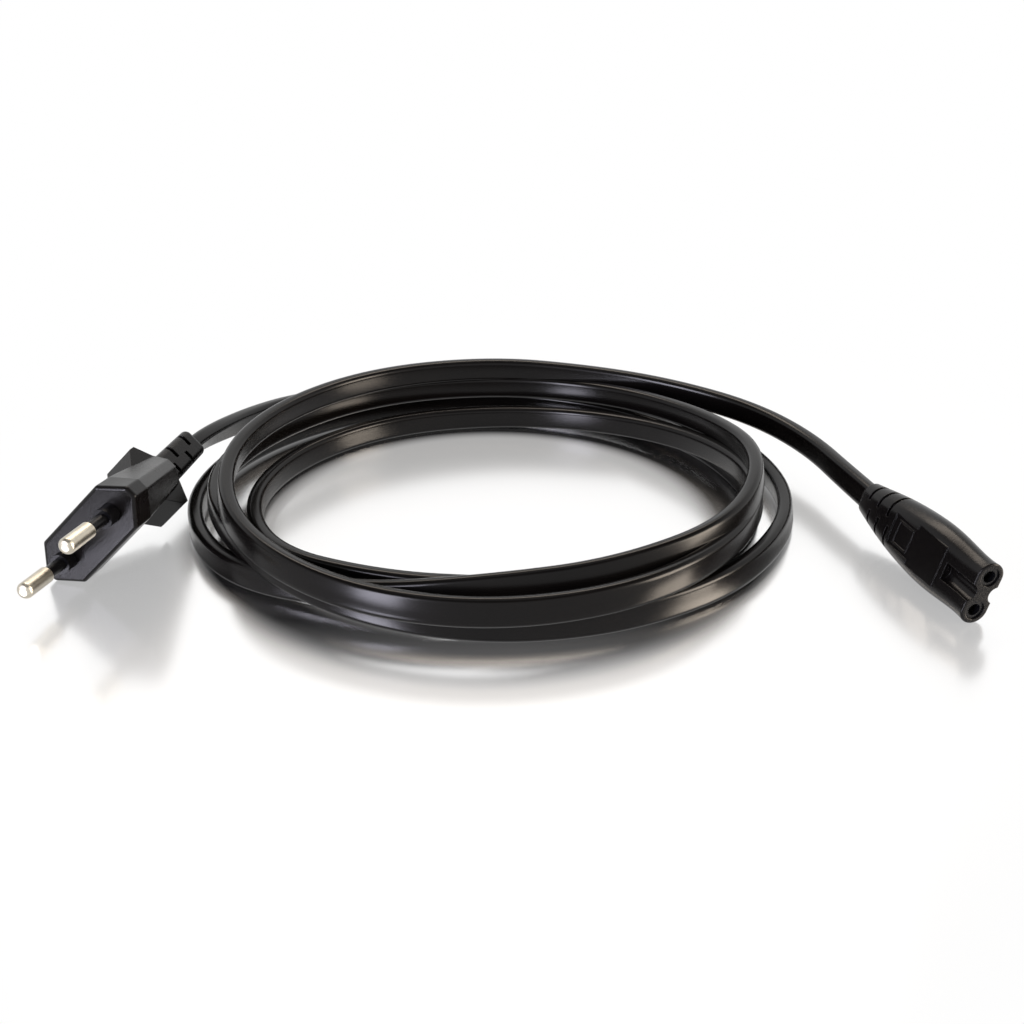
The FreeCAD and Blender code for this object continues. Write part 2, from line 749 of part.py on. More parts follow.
def build_cord(doc, connector_place, plug_place):
    """The two leads along their routes and the coil between them."""
    bend = bend_at(VALUES["plug_sheath_end"]).number
    connector_start = ((0.0, "connector_sheath_end"), (0.0, "connector_first_corner"))
    plug_start = ((bend, "plug_sheath_end"), (bend, "plug_first_corner"),
                  (VALUES["plug_second_rise"], "plug_second_corner"))
    leads = []
    for label, place, start, route in (
        ("connector_lead", connector_place, connector_start, CONNECTOR_ROUTE),
        ("plug_lead", plug_place, plug_start, PLUG_ROUTE),
    ):
        on_axis = [place.multVec(V(0, rise, -VALUES[reach])) for rise, reach in start]
        upright = place.Rotation.multVec(V(1, 0, 0))
        leads.append(cord_tube(doc, label, on_axis + list(route), upright))
    turned = FreeCAD.Placement(COIL_CENTRE, FreeCAD.Rotation(V(0, 0, 1), COIL_TURN))
    coil = cut(doc, "cord_coil", coil_form(doc, turned), leads)
    return leads, coil


def check(doc, pieces):
    """Stop if any object failed or any piece isn't one valid solid."""
    for item in doc.Objects:
        if "Invalid" in item.State or "Error" in item.State:
            raise RuntimeError("%s failed: %s" % (item.Label, item.State))
    for piece in pieces:
        shape = piece.Shape
        if shape.isNull() or not shape.isValid() or len(shape.Solids) != 1:
            raise RuntimeError("%s isn't one valid solid: %d" % (piece.Label, len(shape.Solids)))


def main():
    doc = FreeCAD.newDocument("mains_lead")
    write_sheet(doc)
    connector_place = lie(CONNECTOR_PLACE)
    plug_place = lie(PLUG_PLACE)
    leads, coil = build_cord(doc, connector_place, plug_place)
    doc.recompute()
    pieces = build_connector(doc, connector_place, leads[0])
    pieces += build_plug(doc, plug_place, leads[1])
    pieces += leads + [coil]
    doc.recompute()
    check(doc, pieces)
    os.makedirs("parts", exist_ok=True)
    for piece in pieces:
        piece.Shape.exportStep("parts/%s.step" % piece.Label)
        print("%-22s volume %9.1f" % (piece.Label, piece.Shape.Volume))


main()
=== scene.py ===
import math

import bpy
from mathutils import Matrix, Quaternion, Vector


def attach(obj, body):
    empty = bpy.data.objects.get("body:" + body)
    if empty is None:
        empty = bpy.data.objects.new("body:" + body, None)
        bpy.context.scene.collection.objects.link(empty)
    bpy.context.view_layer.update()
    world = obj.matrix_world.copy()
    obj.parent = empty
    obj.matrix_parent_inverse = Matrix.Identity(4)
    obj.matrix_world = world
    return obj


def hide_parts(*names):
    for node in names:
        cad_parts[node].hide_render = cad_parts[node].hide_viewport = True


# A mains lead dressed for a product picture: a figure-eight connector, a flat cord lying in a
# loose coil of four turns, and a flat two-pin plug. Metres, Z up, the floor at z = 0.

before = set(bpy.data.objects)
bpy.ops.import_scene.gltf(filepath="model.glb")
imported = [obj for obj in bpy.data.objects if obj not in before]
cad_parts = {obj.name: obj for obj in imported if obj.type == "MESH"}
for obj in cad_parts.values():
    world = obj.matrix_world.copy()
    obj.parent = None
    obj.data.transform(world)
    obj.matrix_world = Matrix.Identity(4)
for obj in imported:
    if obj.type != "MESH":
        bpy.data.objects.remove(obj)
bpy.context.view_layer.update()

bl_info = {
    "name": "Figure-eight mains lead",
    "version": (1, 0, 0),
    "blender": (4, 5, 0),
    "location": "3D View > Sidebar > Mains lead",
    "description": "Dresses the packed mains lead with its cord, finishes and studio",
    "category": "Object",
}

MM = 0.001
FULL_TURN = 2 * math.pi
WHITE = "#FFFFFF"

# the photograph's camera
CAMERA_PLACE = (-0.16637, -0.22402, 0.14291)
CAMERA_HEADING = math.radians(-15.66)
CAMERA_PITCH = math.radians(25.77)
CAMERA_LENS = 42.48
CAMERA_CLIP = 0.01
SENSOR = 36.0

# the route's corners outside the coil, in millimetres, listed as in the part's source: from the
# connector's sheath end to the top of the coil, and from the back of the coil to the plug's
# sheath end
CONNECTOR_LEAD = (
    (0.0, 8.95, 9.0),
    (0.0, 33.93, 10.1),
    (1.6, 60.75, 10.6),
    (-5.0, 84.25, 11.8),
    (-22.5, 103.25, 14.0),
    (-43.0, 118.45, 15.3),
)
PLUG_LEAD = (
    (-68.2, 141.65, 3.5),
    (-90.9, 148.75, 3.5),
    (-113.0, 153.75, 3.5),
    (-135.0, 147.25, 4.8),
    (-151.0, 129.75, 8.2),
    (-167.06, 102.11, 13.54),
    (-172.7, 89.19, 12.83),
    (-176.54, 82.18, 13.14),
)

# the coil, in millimetres: radius and height of the cord's middle at every twelfth of a turn,
# one row for each turn, from straight back as the camera sees it, round by the left, the front
# and the right
COIL_CENTRE = (-92.8, 60.75)
COIL_START = math.radians(90) + CAMERA_HEADING
STEPS = 12
RADII = (
    (72.5, 70.5, 68.0, 68.0, 69.0, 68.5, 69.0, 68.5, 68.5, 70.5, 67.5, 65.0),
    (64.0, 64.0, 63.5, 63.0, 60.0, 49.5, 46.0, 51.5, 62.0, 71.5, 73.0, 76.0),
    (79.0, 80.0, 80.5, 79.0, 73.0, 58.5, 56.0, 59.5, 67.5, 70.5, 71.0, 72.5),
    (73.0, 73.5, 72.0, 73.0, 68.5, 64.8, 63.5, 66.5, 72.5, 80.0, 83.0, 84.5),
)
HEIGHTS = (
    (16.4, 16.9, 17.0, 16.4, 13.4, 10.6, 10.2, 10.2, 10.2, 10.2, 7.6, 4.8),
    (3.4, 3.4, 3.4, 3.4, 3.4, 3.4, 3.4, 3.4, 3.4, 3.4, 3.4, 3.4),
    (3.4, 3.4, 3.5, 3.4, 3.4, 4.4, 9.6, 11.6, 14.0, 16.4, 13.0, 11.2),
    (10.4, 10.4, 10.4, 10.2, 9.6, 5.6, 3.4, 3.4, 3.4, 3.4, 3.4, 3.4),
)
# how far the cord's broad side leans from upright there, its top edge inwards, in degrees
LEANS = (
    (0, 4, 6, 8, 12, 18, 20, 14, 8, 6, 8, 6),
    (4, 0, -4, 0, 6, 8, 4, 0, 4, 6, 4, 0),
    (0, 4, 4, 0, 6, 16, 22, 24, 16, 8, 4, 0),
    (-4, 0, 4, 6, 8, 10, 8, 6, 10, 8, 4, 0),
)

# the line through both conductors at each end of the cord, and how far each end's twist reaches
CONNECTOR_PAIR_LINE = Vector((0.251, -0.041, 0.967))
PLUG_PAIR_LINE = Vector((0.630, -0.313, 0.711))
UPRIGHT = Vector((0, 0, 1))
CONNECTOR_TWIST = 0.06
PLUG_TWIST = 0.08

# each lamp's name, place, aim, size, the setting that holds its power, and colour
LAMPS = (
    ("overhead", (-0.1, 0.06, 0.85), (-0.1, 0.06, 0.0), (0.6, 0.5), "key", WHITE),
    ("back_box", (0.02, 0.6, 0.78), (-0.1, 0.06, 0.0), (0.68, 0.28), "back", "#FFF1E2"),
    ("left_strip", (-0.76, -0.38, 0.27), (-0.1, 0.03, 0.0), (0.22, 0.42), "left", "#F0EEFF"),
    ("right_box", (0.6, -0.34, 0.25), (-0.1, 0.06, 0.0), (0.32, 0.37), "right", "#FFEFDC"),
)

# in reflections the white wall ends at the first height and the ceiling begins at the second, as
# shares of straight up
WALL_TOP = 0.6
CEILING_START = 0.8

# the floor, half its side in metres, and where its reflection and shadow are painted by place, in
# millimetres: the coil touches it at CONTACT_RADIUS from the coil's middle; the painted reflection
# and shade are at their strongest there, and fall to BESIDE_COIL of that between the two distances
# of CONTACT_SIDES from that ring; all of it fades out between the two distances of REFLECTION_END
# from the coil's middle
FLOOR_REACH = 6.0
CONTACT_RADIUS = 69
CONTACT_SIDES = (3, 15)
BESIDE_COIL = 0.5
REFLECTION_END = (110, 200)

# real sizes behind the finishes, in millimetres
TOOL_EDGE = 0.25
MELT_CLOUD = 12
DIE_LINE_LENGTH = 60
DIE_LINE_SPACING = 0.6
DRAWING_WAVE = 14
FIBRE_STREAK = 0.3
HANDLING_PATCH = 1.5
INSULATION_WAVE = 4
GRAIN_DEPTH = 0.06
DIE_LINE_DEPTH = 0.02
FIBRE_DEPTH = 0.04

# PVC and nylon bend light alike
PLASTIC_IOR = 1.53

# sockets known by their number: the two colours that a colour mix takes, and the one it gives
MIX_FIRST = 6
MIX_SECOND = 7
MIX_RESULT = 2

MOULDINGS = ("connector_body", "plug_body")
CARRIERS = ("contact_carrier", "pin_carrier")
CONTACTS = ("contact_sleeve_1", "contact_sleeve_2")
PINS = ("pin_1", "pin_2")
PIN_SLEEVES = ("pin_sleeve_1", "pin_sleeve_2")
CONNECTOR_CORES = ("connector_core_1", "connector_core_2")
PLUG_CORES = ("plug_core_1", "plug_core_2")
CONNECTOR_STRANDS = ("connector_strands_1", "connector_strands_2")
PLUG_STRANDS = ("plug_strands_1", "plug_strands_2")


def linear(code):
    """An sRGB hex value as a linear colour with full alpha."""
    channels = [int(code[place:place + 2], 16) / 255 for place in (1, 3, 5)]
    light = [c / 12.92 if c <= 0.04045 else ((c + 0.055) / 1.055) ** 2.4 for c in channels]
    return (*light, 1.0)


def add_node(tree, kind, settings=None, links=None):
    """Add a node, set its sockets, by name or number, or its properties, and join its inputs."""
    node = tree.nodes.new(kind)
    for name, value in (settings or {}).items():
        if isinstance(name, int) or name in node.inputs:
            node.inputs[name].default_value = value
        else:
            setattr(node, name, value)
    for name, source in (links or {}).items():
        tree.links.new(source, node.inputs[name])
    return node


def new_material(name):
    """An empty material, its tree and its surface socket, ready for nodes."""
    material = bpy.data.materials.new(name)
    material.use_nodes = True
    material.node_tree.nodes.clear()
    output = add_node(material.node_tree, "ShaderNodeOutputMaterial")
    return material, material.node_tree, output.inputs["Surface"]


def dress(names, material):
    """Give CAD nodes a finish through their objects' own slots."""
    for name in names:
        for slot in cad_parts[name].material_slots:
            slot.link = "OBJECT"
            slot.material = material


def spark_eroded_pvc(settings):
    """Flexible PVC moulded in a spark-eroded tool: a satin skin with a fine even grain that
    breaks the highlights up, and tones that differ a little from cloud to cloud."""
    material, tree, surface = new_material("spark_eroded_pvc")
    place = add_node(tree, "ShaderNodeTexCoord")
    # the grain is about 0.15 mm on the real tool and is drawn at 0.5 mm to show at all
    grain = add_node(tree, "ShaderNodeTexNoise",
                     {"Scale": 1 / settings.grain, "Detail": 2.0, "Roughness": 0.6},
                     {"Vector": place.outputs["Object"]})
    # the flow of the melt leaves cloudy differences of gloss and tone
    cloud = add_node(tree, "ShaderNodeTexNoise", {"Scale": 1 / (MELT_CLOUD * MM), "Detail": 3.0},
                     {"Vector": place.outputs["Object"]})
    smoother, rougher = settings.roughness - 0.05, settings.roughness + 0.06
    gloss = add_node(tree, "ShaderNodeMapRange", {"To Min": smoother, "To Max": rougher},
                     {"Value": cloud.outputs["Fac"]})
    tint = add_node(tree, "ShaderNodeMix",
                    {"data_type": "RGBA", MIX_FIRST: linear(settings.dark),
                     MIX_SECOND: linear(settings.pale)},
                    {"Factor": cloud.outputs["Fac"]})
    # the small radius of the tool's edges catches the light as a thin line
    edges = add_node(tree, "ShaderNodeBevel", {"Radius": TOOL_EDGE * MM, "samples": 6})
    bump = add_node(tree, "ShaderNodeBump", {"Strength": 0.5, "Distance": GRAIN_DEPTH * MM},
                    {"Height": grain.outputs["Fac"], "Normal": edges.outputs["Normal"]})
    shader = add_node(tree, "ShaderNodeBsdfPrincipled",
                      {"IOR": PLASTIC_IOR, "Specular IOR Level": settings.specular},
                      {"Base Color": tint.outputs[MIX_RESULT],
                       "Roughness": gloss.outputs["Result"], "Normal": bump.outputs["Normal"]})
    tree.links.new(shader.outputs["BSDF"], surface)
    return material


def extruded_pvc(settings):
    """Plasticised PVC drawn through a polished die: a smooth glossy black sheath whose
    reflections waver a little along its length."""
    material, tree, surface = new_material("extruded_pvc")
    place = add_node(tree, "ShaderNodeTexCoord")
    # fine lines from the die run along the sheath, side by side round it
    stretch = add_node(tree, "ShaderNodeMapping",
                       {"Scale": (1 / (DIE_LINE_LENGTH * MM), 1 / (DIE_LINE_SPACING * MM), 1.0)},
                       {"Vector": place.outputs["UV"]})
    lines = add_node(tree, "ShaderNodeTexNoise", {"Scale": 1.0, "Detail": 2.0},
                     {"Vector": stretch.outputs["Vector"]})
    # slow changes of the drawing speed show as waves of tone
    waves = add_node(tree, "ShaderNodeTexNoise", {"Scale": 1 / (DRAWING_WAVE * MM), "Detail": 1.0},
                     {"Vector": place.outputs["Object"]})
    smoother, rougher = settings.roughness - 0.04, settings.roughness + 0.06
    gloss = add_node(tree, "ShaderNodeMapRange", {"To Min": smoother, "To Max": rougher},
                     {"Value": lines.outputs["Fac"]})
    tint = add_node(tree, "ShaderNodeMix",
                    {"data_type": "RGBA", MIX_FIRST: linear(settings.dark),
                     MIX_SECOND: linear(settings.pale)},
                    {"Factor": waves.outputs["Fac"]})
    bump = add_node(tree, "ShaderNodeBump", {"Strength": 0.15, "Distance": DIE_LINE_DEPTH * MM},
                    {"Height": lines.outputs["Fac"]})
    shader = add_node(tree, "ShaderNodeBsdfPrincipled",
                      {"IOR": PLASTIC_IOR, "Specular IOR Level": settings.specular},
                      {"Base Color": tint.outputs[MIX_RESULT],
                       "Roughness": gloss.outputs["Result"], "Normal": bump.outputs["Normal"]})
    tree.links.new(shader.outputs["BSDF"], surface)
    return material


def moulded_nylon(settings):
    """Glass-filled nylon from a polished tool: a hard black insert with faint streaks."""
    material, tree, surface = new_material("glass_filled_nylon")
    place = add_node(tree, "ShaderNodeTexCoord")
    # the glass fibres mark the skin in narrow streaks
    fibre = add_node(tree, "ShaderNodeTexNoise", {"Scale": 1 / (FIBRE_STREAK * MM), "Detail": 3.0},
                     {"Vector": place.outputs["Object"]})
    tint = add_node(tree, "ShaderNodeMix",
                    {"data_type": "RGBA", MIX_FIRST: linear(settings.insert_dark),
                     MIX_SECOND: linear(settings.insert_pale)},
                    {"Factor": fibre.outputs["Fac"]})
    bump = add_node(tree, "ShaderNodeBump", {"Strength": 0.2, "Distance": FIBRE_DEPTH * MM},
                    {"Height": fibre.outputs["Fac"]})
    shader = add_node(tree, "ShaderNodeBsdfPrincipled",
                      {"IOR": PLASTIC_IOR, "Roughness": settings.insert_roughness,
                       "Specular IOR Level": settings.specular},
                      {"Base Color": tint.outputs[MIX_RESULT], "Normal": bump.outputs["Normal"]})
    tree.links.new(shader.outputs["BSDF"], surface)
    return material


def plated_metal(name, pale, deep, roughness):
    """Drawn or turned metal, bright or plated, whose gloss and tone differ from handling."""
    material, tree, surface = new_material(name)
    place = add_node(tree, "ShaderNodeTexCoord")
    # handling dulls the metal in soft patches
    marks = add_node(tree, "ShaderNodeTexNoise",
                     {"Scale": 1 / (HANDLING_PATCH * MM), "Detail": 2.0},
                     {"Vector": place.outputs["Object"]})
    smoother, rougher = roughness - 0.06, roughness + 0.1
    gloss = add_node(tree, "ShaderNodeMapRange", {"To Min": smoother, "To Max": rougher},
                     {"Value": marks.outputs["Fac"]})
    tint = add_node(tree, "ShaderNodeMix",
                    {"data_type": "RGBA", MIX_FIRST: linear(deep), MIX_SECOND: linear(pale)},
                    {"Factor": marks.outputs["Fac"]})
    shader = add_node(tree, "ShaderNodeBsdfPrincipled", {"Metallic": 1.0},
                      {"Base Color": tint.outputs[MIX_RESULT],
                       "Roughness": gloss.outputs["Result"]})
    tree.links.new(shader.outputs["BSDF"], surface)
    return material


def wire_insulation(name, pale, deep, roughness):
    """Coloured PVC extruded on a conductor: smooth and softly glossy."""
    material, tree, surface = new_material(name)
    place = add_node(tree, "ShaderNodeTexCoord")
    waves = add_node(tree, "ShaderNodeTexNoise",
                     {"Scale": 1 / (INSULATION_WAVE * MM), "Detail": 2.0},
                     {"Vector": place.outputs["Object"]})
    tint = add_node(tree, "ShaderNodeMix",
                    {"data_type": "RGBA", MIX_FIRST: linear(deep), MIX_SECOND: linear(pale)},
                    {"Factor": waves.outputs["Fac"]})
    shader = add_node(tree, "ShaderNodeBsdfPrincipled",
                      {"IOR": PLASTIC_IOR, "Roughness": roughness},
                      {"Base Color": tint.outputs[MIX_RESULT]})
    tree.links.new(shader.outputs["BSDF"], surface)
    return material


def seen_as_background(tree):
    """Sockets that are 1 for the camera's own rays and for rays that a mirror or glass sends."""
    ray = add_node(tree, "ShaderNodeLightPath")
    reflected = add_node(tree, "ShaderNodeMath", {"operation": "MAXIMUM"},
                         {0: ray.outputs["Is Glossy Ray"], 1: ray.outputs["Is Transmission Ray"]})
    return {"camera": ray.outputs["Is Camera Ray"], "reflected": reflected.outputs["Value"]}


def painted_contact_share(tree):
    """A socket with the floor's painted share of reflection and shadow, set by place: 1 where the
    coil touches the floor, less beside it, and 0 away from the object."""
    place = add_node(tree, "ShaderNodeNewGeometry")
    middle = (COIL_CENTRE[0] * MM, COIL_CENTRE[1] * MM, 0.0)
    away = add_node(tree, "ShaderNodeVectorMath", {"operation": "DISTANCE", 1: middle},
                    {0: place.outputs["Position"]})
    ending = add_node(tree, "ShaderNodeMapRange",
                      {"interpolation_type": "SMOOTHSTEP", "From Min": REFLECTION_END[0] * MM,
                       "From Max": REFLECTION_END[1] * MM, "To Min": 1.0, "To Max": 0.0},
                      {"Value": away.outputs["Value"]})
    past = add_node(tree, "ShaderNodeMath", {"operation": "SUBTRACT", 1: CONTACT_RADIUS * MM},
                    {0: away.outputs["Value"]})
    beside = add_node(tree, "ShaderNodeMath", {"operation": "ABSOLUTE"},
                      {0: past.outputs["Value"]})
    contact = add_node(tree, "ShaderNodeMapRange",
                       {"interpolation_type": "SMOOTHSTEP", "From Min": CONTACT_SIDES[0] * MM,
                        "From Max": CONTACT_SIDES[1] * MM, "To Min": 1.0, "To Max": BESIDE_COIL},
                       {"Value": beside.outputs["Value"]})
    share = add_node(tree, "ShaderNodeMath", {"operation": "MULTIPLY"},
                     {0: ending.outputs["Result"], 1: contact.outputs["Result"]})
    return share.outputs["Value"]


def polished_acrylic(settings):
    """A polished white acrylic sheet lit from below: white wherever it is seen, with a painted
    shadow
    and a painted reflection of the object: the floor's shadow and mirror are let through by place,
    strongest in a ring where the coil touches it and fading out away from the object."""
    material, tree, surface = new_material("polished_acrylic")
    shown = seen_as_background(tree)
    # painted shade and reflection: the floor shows its shadow and mirror by place, strongest in a
    # ring under the coil's contact
    painted_share = painted_contact_share(tree)
    sheet = add_node(tree, "ShaderNodeBsdfDiffuse", {"Color": linear(settings.floor)})
    glow = add_node(tree, "ShaderNodeEmission", {"Color": linear(WHITE), "Strength": 1.0})
    seen = add_node(tree, "ShaderNodeMath", {"operation": "MAXIMUM"},
                    {0: shown["camera"], 1: shown["reflected"]})
    # where the painted share is high, the white glow gives way to the lit sheet and its shadow
    lit = add_node(tree, "ShaderNodeMapRange", {"To Min": 1.0, "To Max": settings.glow},
                   {"Value": painted_share})
    white = add_node(tree, "ShaderNodeMath", {"operation": "MULTIPLY"},
                     {0: seen.outputs["Value"], 1: lit.outputs["Result"]})
    body = add_node(tree, "ShaderNodeMixShader", None,
                    {"Fac": white.outputs["Value"], 1: sheet.outputs["BSDF"],
                     2: glow.outputs["Emission"]})
    # the reflection is stronger the lower the floor is looked along
    slope = add_node(tree, "ShaderNodeLayerWeight", {"Blend": 0.5})
    facing = add_node(tree, "ShaderNodeMapRange", {"To Min": 0.0, "To Max": settings.mirror},
                      {"Value": slope.outputs["Facing"]})
    strength = add_node(tree, "ShaderNodeMath", {"operation": "MULTIPLY"},
                        {0: painted_share, 1: facing.outputs["Result"]})
    mirror = add_node(tree, "ShaderNodeBsdfGlossy",
                      {"Color": linear(WHITE), "Roughness": settings.polish})
    whole = add_node(tree, "ShaderNodeMixShader", None,
                     {"Fac": strength.outputs["Value"], 1: body.outputs["Shader"],
                      2: mirror.outputs["BSDF"]})
    tree.links.new(whole.outputs["Shader"], surface)
    return material


def coil_corners():
    """Corners of the coil's four turns; each stands out so that the spline runs at its radius."""
    corners = []
    step = FULL_TURN / STEPS
    for radii, heights in zip(RADII, HEIGHTS):
        for index in range(STEPS):
            angle = COIL_START + step * index
            radius = radii[index] / math.cos(step / 2)
            corners.append((COIL_CENTRE[0] + radius * math.cos(angle),
                            COIL_CENTRE[1] + radius * math.sin(angle), heights[index]))
    return corners


def route_points(settings):
    """Points read from one smooth spline whose control points are the route's corners."""
    corners = [*CONNECTOR_LEAD, *coil_corners(), *PLUG_LEAD]
    curve = bpy.data.curves.new("cord_route", "CURVE")
    curve.dimensions = "3D"
    curve.resolution_u = settings.steps_per_corner
    spline = curve.splines.new("NURBS")
    spline.points.add(len(corners) - 1)
    for point, corner in zip(spline.points, corners):
        point.co = (*(Vector(corner) * MM), 1.0)
    spline.order_u = 3
    spline.use_endpoint_u = True
    holder = bpy.data.objects.new("cord_route", curve)
    mesh = bpy.data.meshes.new_from_object(holder)
    points = [vertex.co.copy() for vertex in mesh.vertices]
    bpy.data.objects.remove(holder)
    bpy.data.curves.remove(curve)
    bpy.data.meshes.remove(mesh)
    return points


def distances_along(points):
    """The distance of each point from the route's start."""
    travelled = [0.0]
    for before, after in zip(points, points[1:]):
        travelled.append(travelled[-1] + (after - before).length)
    return travelled


def turns_along(points):
    """How many turns of the coil each point of the route has made, below 0 before it."""
    centre_x, centre_y = COIL_CENTRE[0] * MM, COIL_CENTRE[1] * MM
    angles = [math.atan2(point.y - centre_y, point.x - centre_x) - COIL_START for point in points]
    turns = [angles[0] / FULL_TURN]
    for before, after in zip(angles, angles[1:]):
        step = (after - before + math.pi) % FULL_TURN - math.pi
        turns.append(turns[-1] + step / FULL_TURN)
    return turns


def lean_at(turn):
    """The lean, in radians, after a number of turns; the cord is upright outside the coil."""
    leans = [0, *sum(LEANS, ()), 0, 0]
    place = min(max(turn * STEPS + 1, 0.0), len(leans) - 2.0)
    index = int(place)
    return math.radians(leans[index] + (leans[index + 1] - leans[index]) * (place - index))


def smooth(share):
    """A share kept from 0 to 1 and eased at both."""
    share = min(max(share, 0.0), 1.0)
    return share * share * (3 - 2 * share)


def broad_side(along, from_connector, to_plug, turn):
    """The direction of the section's broad side: the pair line at each end of the cord, upright
    between them, and leaning in the coil."""
    start = 1 - smooth(from_connector / CONNECTOR_TWIST)
    end = 1 - smooth(to_plug / PLUG_TWIST)
    broad = UPRIGHT * (1 - start - end) + CONNECTOR_PAIR_LINE * start + PLUG_PAIR_LINE * end
    broad = (broad - along * broad.dot(along)).normalized()
    return Quaternion(along, -lean_at(turn)) @ broad


def flat_section(settings):
    """Points of the sheath's section, along its broad side and across it: flat sides with round
    corners."""
    corner = settings.corner
    reach = settings.width / 2 - corner
    rise = settings.thickness / 2 - corner
    count = settings.around // 4
    section = []
    for quarter, (side, face) in enumerate(((1, -1), (1, 1), (-1, 1), (-1, -1))):
        for index in range(count):
            angle = math.pi / 2 * (quarter - 1 + index / (count - 1))
            section.append((side * reach + corner * math.cos(angle),
                            face * rise + corner * math.sin(angle)))
    return section


def tube_mesh(name, points, settings):
    """A flat tube along the points, standing on edge in the coil and turned at each end."""
    section = flat_section(settings)
    count = len(section)
    last = len(points) - 1
    travelled = distances_along(points)
    turns = turns_along(points)
    vertices = []
    for index, point in enumerate(points):
        along = (points[min(index + 1, last)] - points[max(index - 1, 0)]).normalized()
        to_plug = travelled[last] - travelled[index]
        broad = broad_side(along, travelled[index], to_plug, turns[index])
        thin = along.cross(broad)
        ring = [point + broad * x + thin * y for x, y in section]
        # a leaning stretch is lifted until its lower corner lies on the floor
        sunk = min(0.0, min(vertex.z for vertex in ring))
        vertices.extend(vertex - UPRIGHT * sunk for vertex in ring)
    faces = [tuple(range(count))]
    for ring in range(last):
        low, high = ring * count, (ring + 1) * count
        for index in range(count):
            following = (index + 1) % count
            faces.append((low + index, high + index, high + following, low + following))
    faces.append(tuple(last * count + index for index in reversed(range(count))))
    mesh = bpy.data.meshes.new(name)
    mesh.from_pydata(vertices, [], faces)
    add_lengthwise_uv(mesh, travelled, count, settings)
    mesh.shade_smooth()
    return mesh


def add_lengthwise_uv(mesh, travelled, count, settings):
    """Texture coordinates in metres along the cord and round it."""
    layer = mesh.uv_layers.new(name="along_cord")
    round_step = 2 * (settings.width + settings.thickness) / count
    for polygon in mesh.polygons:
        places = {mesh.loops[loop].vertex_index % count for loop in polygon.loop_indices}
        seam = places == {0, count - 1}
        for loop in polygon.loop_indices:
            ring, place = divmod(mesh.loops[loop].vertex_index, count)
            # the last strip round the cord ends one step on, and doesn't run back to the first
            if seam and place == 0:
                place = count
            layer.data[loop].uv = (travelled[ring], place * round_step)


def add_object(name, data):
    """Put a mesh, a lamp or a camera in the scene."""
    item = bpy.data.objects.new(name, data)
    bpy.context.scene.collection.objects.link(item)
    return item


class CordSettings(bpy.types.PropertyGroup):
    width: bpy.props.FloatProperty(
        name="Width", description="Broad side of the flat sheath", default=0.0068,
        unit="LENGTH", precision=4)
    thickness: bpy.props.FloatProperty(
        name="Thickness", description="Narrow side of the flat sheath", default=0.004,
        unit="LENGTH", precision=4)
    corner: bpy.props.FloatProperty(
        name="Corner", description="Radius of the section's corners", default=0.0015,
        unit="LENGTH", precision=4)
    around: bpy.props.IntProperty(
        name="Points round", description="Points round the section", default=24, min=8)
    steps_per_corner: bpy.props.IntProperty(
        name="Steps", description="Rings for each corner of the route", default=12, min=4)
    roughness: bpy.props.FloatProperty(
        name="Roughness", description="Roughness of the sheath", default=0.2,
        subtype="FACTOR", min=0, max=1)
    specular: bpy.props.FloatProperty(
        name="Specular", description="Strength of the sheath's reflections", default=0.16,
        subtype="FACTOR", min=0, max=1)
    dark: bpy.props.StringProperty(
        name="Sheath", description="Deepest tone of the sheath", default="#050404")
    pale: bpy.props.StringProperty(
        name="Sheath, pale", description="Palest tone of the sheath", default="#0D0B0A")


class MouldingSettings(bpy.types.PropertyGroup):
    grain: bpy.props.FloatProperty(
        name="Grain", description="Size of the moulded grain as drawn", default=0.0005,
        unit="LENGTH", precision=5)
    roughness: bpy.props.FloatProperty(
        name="Roughness", description="Roughness of the moulded skin", default=0.26,
        subtype="FACTOR", min=0, max=1)
    insert_roughness: bpy.props.FloatProperty(
        name="Insert roughness", description="Roughness of the hard inserts", default=0.26,
        subtype="FACTOR", min=0, max=1)
    specular: bpy.props.FloatProperty(
        name="Specular", description="Strength of the mouldings' reflections", default=0.16,
        subtype="FACTOR", min=0, max=1)
    dark: bpy.props.StringProperty(
        name="Moulding", description="Deepest tone of the mouldings", default="#060505")
    pale: bpy.props.StringProperty(
        name="Moulding, pale", description="Palest tone of the mouldings", default="#0F0D0D")
    insert_dark: bpy.props.StringProperty(
        name="Insert", description="Deepest tone of the hard inserts", default="#070708")
    insert_pale: bpy.props.StringProperty(
        name="Insert, pale", description="Palest tone of the hard inserts", default="#0E0E11")


class MetalSettings(bpy.types.PropertyGroup):
    nickel_pale: bpy.props.StringProperty(
        name="Nickel", description="Palest tone of the plated pins", default="#CDC7B9")
    nickel_deep: bpy.props.StringProperty(
        name="Nickel, deep", description="Deepest tone of the plated pins", default="#B5AE9E")
    nickel_roughness: bpy.props.FloatProperty(
        name="Nickel roughness", description="Roughness of the plated pins", default=0.32,
        subtype="FACTOR", min=0, max=1)
    tin_pale: bpy.props.StringProperty(
        name="Tin", description="Palest tone of the contacts", default="#D3CFC4")
    tin_deep: bpy.props.StringProperty(
        name="Tin, deep", description="Deepest tone of the contacts", default="#9C978A")
    tin_roughness: bpy.props.FloatProperty(
        name="Tin roughness", description="Roughness of the contacts", default=0.35,
        subtype="FACTOR", min=0, max=1)
    copper_pale: bpy.props.StringProperty(
        name="Copper", description="Palest tone of the strands", default="#D98A5B")
    copper_deep: bpy.props.StringProperty(
        name="Copper, deep", description="Deepest tone of the strands", default="#B0623A")
    copper_roughness: bpy.props.FloatProperty(
        name="Copper roughness", description="Roughness of the strands", default=0.3,
        subtype="FACTOR", min=0, max=1)


